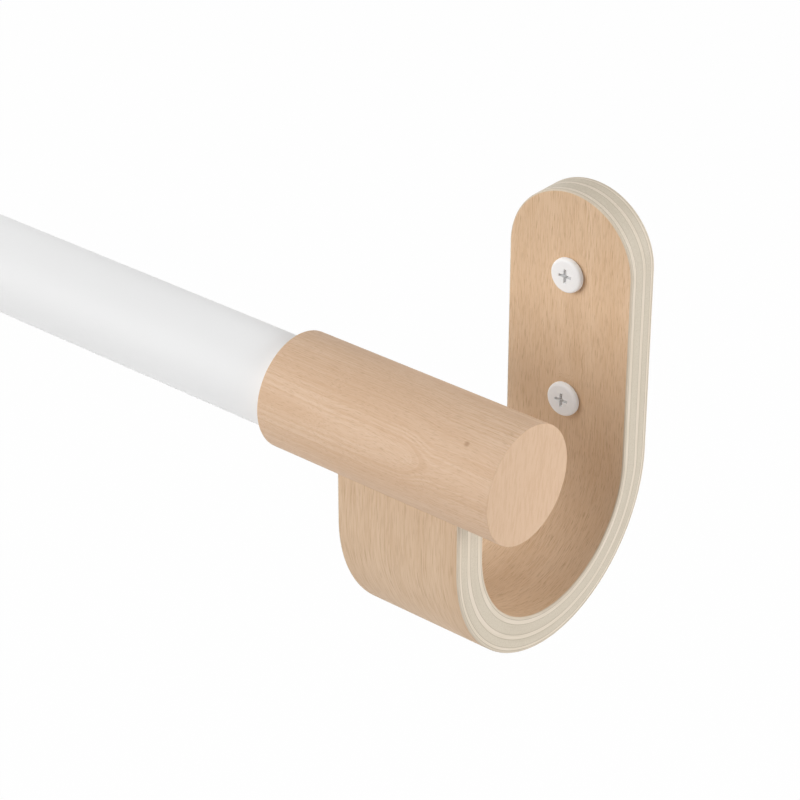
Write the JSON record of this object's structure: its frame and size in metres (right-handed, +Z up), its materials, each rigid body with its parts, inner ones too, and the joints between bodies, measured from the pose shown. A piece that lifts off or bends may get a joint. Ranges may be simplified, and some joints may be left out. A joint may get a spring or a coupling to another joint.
{
  "type": "curtain rod",
  "caption": "Adjustable curtain rod: white telescoping tubes with turned wood end caps that drop onto bent-plywood hook brackets screwed to the wall.",
  "frame": {"origin": "middle of the right bracket's two wall screws, on the wall's surface", "axes": "+X along the rod towards the pictured end, +Y into the wall, +Z up"},
  "size_m": [0.8289, 0.1136, 0.1142],
  "materials": {
    "white_steel": "satin white powder coat on steel tube",
    "white_screw": "white lacquered steel",
    "white_nylon": "moulded white nylon",
    "turned_beech": "turned beech under a matt clear lacquer",
    "moulded_plywood": "moulded plywood, beech veneered, with pale sanded edges, under a matt clear lacquer"
  },
  "bodies": {
    "right_half": {"outer_tube": "white_steel", "guide_collar": "white_nylon", "end_cap_right": "turned_beech", "bracket_right": "moulded_plywood", "wall_screws_right": "white_screw"},
    "left_half": {"inner_tube": "white_steel", "glide_ring": "white_nylon", "end_cap_left": "turned_beech", "bracket_left": "moulded_plywood", "wall_screws_left": "white_screw"}
  },
  "joints": [
    {"name": "telescope", "type": "slide", "parent": "right_half", "child": "left_half", "axis": [-1, 0, 0], "range_m": [0, 0.508]}
  ]
}
